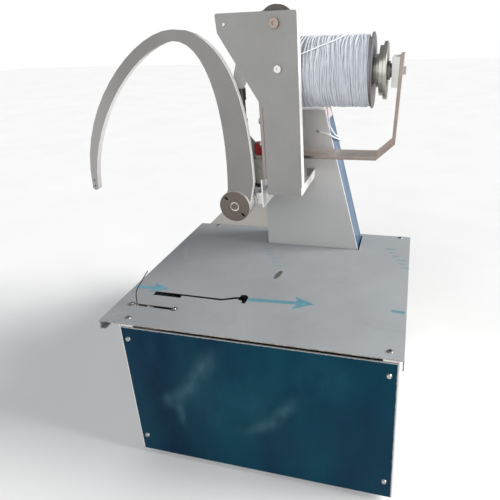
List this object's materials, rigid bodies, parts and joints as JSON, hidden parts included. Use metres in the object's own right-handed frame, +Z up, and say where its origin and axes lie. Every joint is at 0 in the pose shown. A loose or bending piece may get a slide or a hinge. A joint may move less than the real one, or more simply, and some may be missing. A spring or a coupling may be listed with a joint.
{
  "type": "ball winder",
  "caption": "Bench cord winder with a tapered column, a spool of elastic cord on a bracket, guide wheels and a curved swinging laying arm.",
  "frame": {"origin": "middle of the footprint of the whole machine, on the bench", "axes": "+Z up, +Y from the filmed front panel to the back, +X towards the free end of the spool"},
  "size_m": [0.6225, 0.608, 0.776],
  "materials": {
    "film_blue": "blue protective film on sheet steel",
    "film_pale": "pale protective film on stainless sheet",
    "sheet_steel": "satin powder coat",
    "head_grey": "satin powder coat",
    "beige_paint": "satin powder coat",
    "white_paint": "satin powder coat",
    "steel_screw": "zinc plated",
    "bare_steel": "turned and ground",
    "stainless_bar": "rolled stainless",
    "bright_alu": "turned",
    "arm_alu": "satin powder coat",
    "cone_metal": "grey-olive anodised",
    "dark_plastic": "moulded",
    "wheel_grey": "turned nylon",
    "spool_grey": "moulded",
    "white_plastic": "machined block",
    "red_plastic": "moulded, ribbed",
    "rubber_black": "moulded",
    "cord_white": "braided elastic"
  },
  "bodies": {
    "frame": {"front_panel": "film_blue", "front_screws": "steel_screw", "side_panel_left": "sheet_steel", "side_panel_right": "sheet_steel", "back_panel": "sheet_steel", "bottom_tray": "sheet_steel", "feet": "rubber_black", "top_plate": "film_pale", "top_screws": "steel_screw", "rear_housing": "beige_paint", "rear_lid": "beige_paint", "cross_beam": "sheet_steel", "column_shell": "head_grey", "column_side_panel": "film_blue", "column_corner": "white_paint", "column_screws": "steel_screw", "head_plate": "head_grey", "head_bracket": "white_paint", "head_cheek": "bare_steel", "cheek_bolts": "steel_screw", "arm_bracket": "white_paint", "upper_wheel_bolt": "bare_steel", "lower_wheel_bolt": "steel_screw", "left_guide": "steel_screw", "hub_housing": "bright_alu", "hub_bearings": "steel_screw", "arm_motor": "dark_plastic", "post_rod": "steel_screw", "post_sleeve": "arm_alu", "post_collar": "bare_steel", "post_lug": "white_paint", "post_bracket": "white_paint", "regulator_body": "beige_paint", "shaft_bearing": "steel_screw", "bearing_block": "white_plastic", "block_bolt": "steel_screw", "spool_bar": "stainless_bar", "slot_screws": "bare_steel", "control_unit": "dark_plastic", "power_supply": "bright_alu", "mains_inlet": "dark_plastic", "feed_cord": "cord_white", "cord_tail": "cord_white"},
    "arm": {"arm": "arm_alu", "arm_eyelets": "dark_plastic", "hub_disc": "bare_steel", "hub_screw": "steel_screw", "hub_shaft": "bare_steel"},
    "spool": {"spool": "spool_grey", "cord_winding": "cord_white", "spool_shaft": "bare_steel", "cone_right": "cone_metal", "cone_left": "cone_metal", "lock_nut": "bare_steel"},
    "upper_wheel": {"upper_wheel": "wheel_grey"},
    "lower_wheel": {"lower_wheel": "wheel_grey"},
    "regulator_knob": {"regulator_knob": "red_plastic"},
    "feeler": {"feeler_slider": "dark_plastic", "feeler_wire": "bare_steel"}
  },
  "joints": [
    {"name": "arm_swing", "type": "hinge", "parent": "frame", "child": "arm", "pos_m": [-0.00675, -0.104, 0.437], "axis": [0, 1, 0], "range_deg": [-32, 0]},
    {"name": "spool_spin", "type": "hinge", "parent": "frame", "child": "spool", "pos_m": [0.15125, -0.002, 0.664], "axis": [1, 0, 0], "continuous": true},
    {"name": "upper_wheel_spin", "type": "hinge", "parent": "frame", "child": "upper_wheel", "pos_m": [0.08025, -0.07, 0.748], "axis": [0, 1, 0], "continuous": true},
    {"name": "lower_wheel_spin", "type": "hinge", "parent": "frame", "child": "lower_wheel", "pos_m": [0.08275, -0.075, 0.6775], "axis": [0, 1, 0], "continuous": true},
    {"name": "knob_turn", "type": "hinge", "parent": "frame", "child": "regulator_knob", "pos_m": [0.02625, -0.042, 0.532], "axis": [0, 0, 1], "range_deg": [-150, 150]},
    {"name": "feeler_slide", "type": "slide", "parent": "frame", "child": "feeler", "axis": [1, 0, 0], "range_m": [0, 0.05]}
  ]
}
